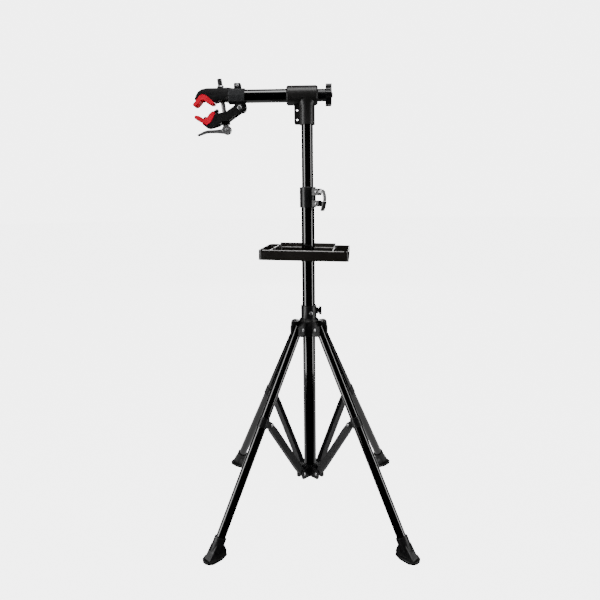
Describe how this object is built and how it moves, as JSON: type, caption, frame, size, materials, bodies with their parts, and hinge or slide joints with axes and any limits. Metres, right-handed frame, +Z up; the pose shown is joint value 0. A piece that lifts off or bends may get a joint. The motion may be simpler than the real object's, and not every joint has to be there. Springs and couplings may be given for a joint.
{
  "type": "bicycle repair stand",
  "caption": "Folding bicycle repair stand: splayed braced legs, telescopic mast, swivel tool tray, and a horizontal arm with a cam-lever clamp and padded jaws.",
  "frame": {"origin": "on the floor under the middle of the stand's box; the post stands 11.2 mm to +X of it", "axes": "+Z up the post, -X from the post to the clamp's jaws, -Y towards the viewer; the legs splay along the diagonals"},
  "size_m": [0.6462, 0.6236, 1.3681],
  "materials": {
    "tube_gloss_black": "gloss black powder coat",
    "hub_casting": "dark grey glass-filled nylon, satin",
    "brace_paint": "dark grey satin paint on pressed steel",
    "tee_casting": "black satin coat on a casting",
    "jaw_casting": "matt black coat on a casting",
    "jaw_pad": "red satin rubber",
    "foot_rubber": "black moulded rubber",
    "black_plastic": "black moulded plastic",
    "tray_plastic": "charcoal moulded plastic, fine grain",
    "bright_steel": "bright zinc-plated steel",
    "dark_steel": "dark polished steel"
  },
  "bodies": {
    "post": {"lower_tube": "tube_gloss_black", "lower_collar": "hub_casting", "mast_collar": "hub_casting", "mast_bush": "black_plastic", "mast_skewer": "bright_steel", "mast_screw": "bright_steel"},
    "hub": {"hub": "hub_casting", "hub_screw": "bright_steel", "hub_pin_front_left": "bright_steel", "hub_pin_front_right": "bright_steel", "hub_pin_rear_right": "bright_steel", "hub_pin_rear_left": "bright_steel"},
    "hub_knob": {"hub_knob": "black_plastic"},
    "leg_front_left": {"leg_front_left": "tube_gloss_black", "leg_bracket_front_left": "hub_casting", "brace_pin_front_left": "bright_steel", "foot_front_left": "foot_rubber"},
    "brace_front_left": {"brace_front_left": "brace_paint"},
    "leg_front_right": {"leg_front_right": "tube_gloss_black", "leg_bracket_front_right": "hub_casting", "brace_pin_front_right": "bright_steel", "foot_front_right": "foot_rubber"},
    "brace_front_right": {"brace_front_right": "brace_paint"},
    "leg_rear_right": {"leg_rear_right": "tube_gloss_black", "leg_bracket_rear_right": "hub_casting", "brace_pin_rear_right": "bright_steel", "foot_rear_right": "foot_rubber"},
    "brace_rear_right": {"brace_rear_right": "brace_paint"},
    "leg_rear_left": {"leg_rear_left": "tube_gloss_black", "leg_bracket_rear_left": "hub_casting", "brace_pin_rear_left": "bright_steel", "foot_rear_left": "foot_rubber"},
    "brace_rear_left": {"brace_rear_left": "brace_paint"},
    "mast_lever": {"mast_lever": "bright_steel", "mast_lever_grip": "black_plastic"},
    "guide": {"guide_plug": "black_plastic"},
    "mast": {"upper_tube": "tube_gloss_black", "tee_joint": "tee_casting"},
    "arm": {"arm_tube": "tube_gloss_black", "arm_plug": "black_plastic", "upper_jaw": "jaw_casting", "upper_pad": "jaw_pad", "pinch_screw": "bright_steel", "jaw_pin": "bright_steel", "nut_washer": "bright_steel"},
    "arm_knob": {"star_knob": "black_plastic", "knob_bolt": "dark_steel"},
    "lower_jaw": {"lower_jaw": "jaw_casting", "lower_pad": "jaw_pad", "cam_seat": "black_plastic"},
    "clamp_rod": {"clamp_rod": "bright_steel", "rod_sleeve": "dark_steel", "cam_pin": "bright_steel"},
    "cam_lever": {"cam_lever": "dark_steel"},
    "adjusting_nut": {"adjusting_nut": "black_plastic"},
    "tray_collar": {"tray_collar": "black_plastic", "tray_nut": "black_plastic"},
    "tray": {"tray": "tray_plastic"},
    "tray_screw": {"tray_thumbscrew": "black_plastic"}
  },
  "joints": [
    {"name": "hub_slide", "type": "slide", "parent": "post", "child": "hub", "axis": [0, 0, 1], "range_m": [0, 0.0678]},
    {"name": "leg_front_left", "type": "hinge", "parent": "hub", "child": "leg_front_left", "pos_m": [-0.02272, -0.03394, 0.619], "axis": [0.7071, -0.7071, 0], "range_deg": [0, 24.85]},
    {"name": "brace_front_left", "type": "hinge", "parent": "leg_front_left", "child": "brace_front_left", "pos_m": [-0.11324, -0.12446, 0.34315], "axis": [-0.7071, 0.7071, 0], "range_deg": [0, 55.5]},
    {"name": "leg_front_right", "type": "hinge", "parent": "hub", "child": "leg_front_right", "pos_m": [0.04516, -0.03394, 0.619], "axis": [0.7071, 0.7071, 0], "range_deg": [0, 24.85]},
    {"name": "brace_front_right", "type": "hinge", "parent": "leg_front_right", "child": "brace_front_right", "pos_m": [0.13568, -0.12446, 0.34315], "axis": [-0.7071, -0.7071, 0], "range_deg": [0, 55.5]},
    {"name": "leg_rear_right", "type": "hinge", "parent": "hub", "child": "leg_rear_right", "pos_m": [0.04516, 0.03394, 0.619], "axis": [-0.7071, 0.7071, 0], "range_deg": [0, 24.85]},
    {"name": "brace_rear_right", "type": "hinge", "parent": "leg_rear_right", "child": "brace_rear_right", "pos_m": [0.13568, 0.12446, 0.34315], "axis": [0.7071, -0.7071, 0], "range_deg": [0, 55.5]},
    {"name": "leg_rear_left", "type": "hinge", "parent": "hub", "child": "leg_rear_left", "pos_m": [-0.02272, 0.03394, 0.619], "axis": [-0.7071, -0.7071, 0], "range_deg": [0, 24.85]},
    {"name": "brace_rear_left", "type": "hinge", "parent": "leg_rear_left", "child": "brace_rear_left", "pos_m": [-0.11324, 0.12446, 0.34315], "axis": [0.7071, 0.7071, 0], "range_deg": [0, 55.5]},
    {"name": "hub_knob_turn", "type": "hinge", "parent": "hub", "child": "hub_knob", "pos_m": [0.04122, 0, 0.672], "axis": [1, 0, 0], "continuous": true},
    {"name": "mast_lever", "type": "hinge", "parent": "post", "child": "mast_lever", "pos_m": [0.05495, -0.03417, 1.039], "axis": [-0.6157, -0.788, 0], "range_deg": [0, 110]},
    {"name": "mast_slide", "type": "slide", "parent": "post", "child": "guide", "axis": [0, 0, 1], "range_m": [-0.178, 0.58]},
    {"name": "mast_turn", "type": "hinge", "parent": "guide", "child": "mast", "pos_m": [0.01122, 0, 1.2925], "axis": [0, 0, 1], "continuous": true},
    {"name": "arm_turn", "type": "hinge", "parent": "mast", "child": "arm", "pos_m": [0.01122, 0, 1.318], "axis": [1, 0, 0], "continuous": true},
    {"name": "arm_knob_turn", "type": "hinge", "parent": "arm", "child": "arm_knob", "pos_m": [0.06652, 0, 1.318], "axis": [1, 0, 0], "continuous": true},
    {"name": "jaw_pivot", "type": "hinge", "parent": "arm", "child": "lower_jaw", "pos_m": [-0.18578, 0, 1.2835], "axis": [0, 1, 0], "range_deg": [0, 11]},
    {"name": "rod_slide", "type": "slide", "parent": "arm", "child": "clamp_rod", "axis": [-0.1201, 0, 0.9928], "range_m": [0, 0.0085]},
    {"name": "cam_lever_swing", "type": "hinge", "parent": "clamp_rod", "child": "cam_lever", "pos_m": [-0.22778, 0, 1.2235], "axis": [0, -1, 0], "range_deg": [0, 150]},
    {"name": "nut_turn", "type": "hinge", "parent": "arm", "child": "adjusting_nut", "pos_m": [-0.2428, 0, 1.34759], "axis": [-0.1201, 0, 0.9928], "continuous": true},
    {"name": "tray_slide", "type": "slide", "parent": "post", "child": "tray_collar", "axis": [0, 0, 1], "range_m": [-0.063, 0.108]},
    {"name": "tray_turn", "type": "hinge", "parent": "tray_collar", "child": "tray", "pos_m": [0.01122, 0, 0.8416], "axis": [0, 0, 1], "continuous": true},
    {"name": "tray_screw_turn", "type": "hinge", "parent": "tray_collar", "child": "tray_screw", "pos_m": [0.01122, 0.027, 0.8318], "axis": [0, 1, 0], "continuous": true}
  ],
  "couplings": [
    {"joint": "leg_front_left", "follows": "hub_slide", "rad_per_m": 6.382},
    {"joint": "brace_front_left", "follows": "hub_slide", "rad_per_m": 14.261},
    {"joint": "leg_front_right", "follows": "hub_slide", "rad_per_m": 6.382},
    {"joint": "brace_front_right", "follows": "hub_slide", "rad_per_m": 14.261},
    {"joint": "leg_rear_right", "follows": "hub_slide", "rad_per_m": 6.382},
    {"joint": "brace_rear_right", "follows": "hub_slide", "rad_per_m": 14.261},
    {"joint": "leg_rear_left", "follows": "hub_slide", "rad_per_m": 6.382},
    {"joint": "brace_rear_left", "follows": "hub_slide", "rad_per_m": 14.261},
    {"joint": "rod_slide", "follows": "jaw_pivot", "m_per_rad": 0.04344}
  ]
}
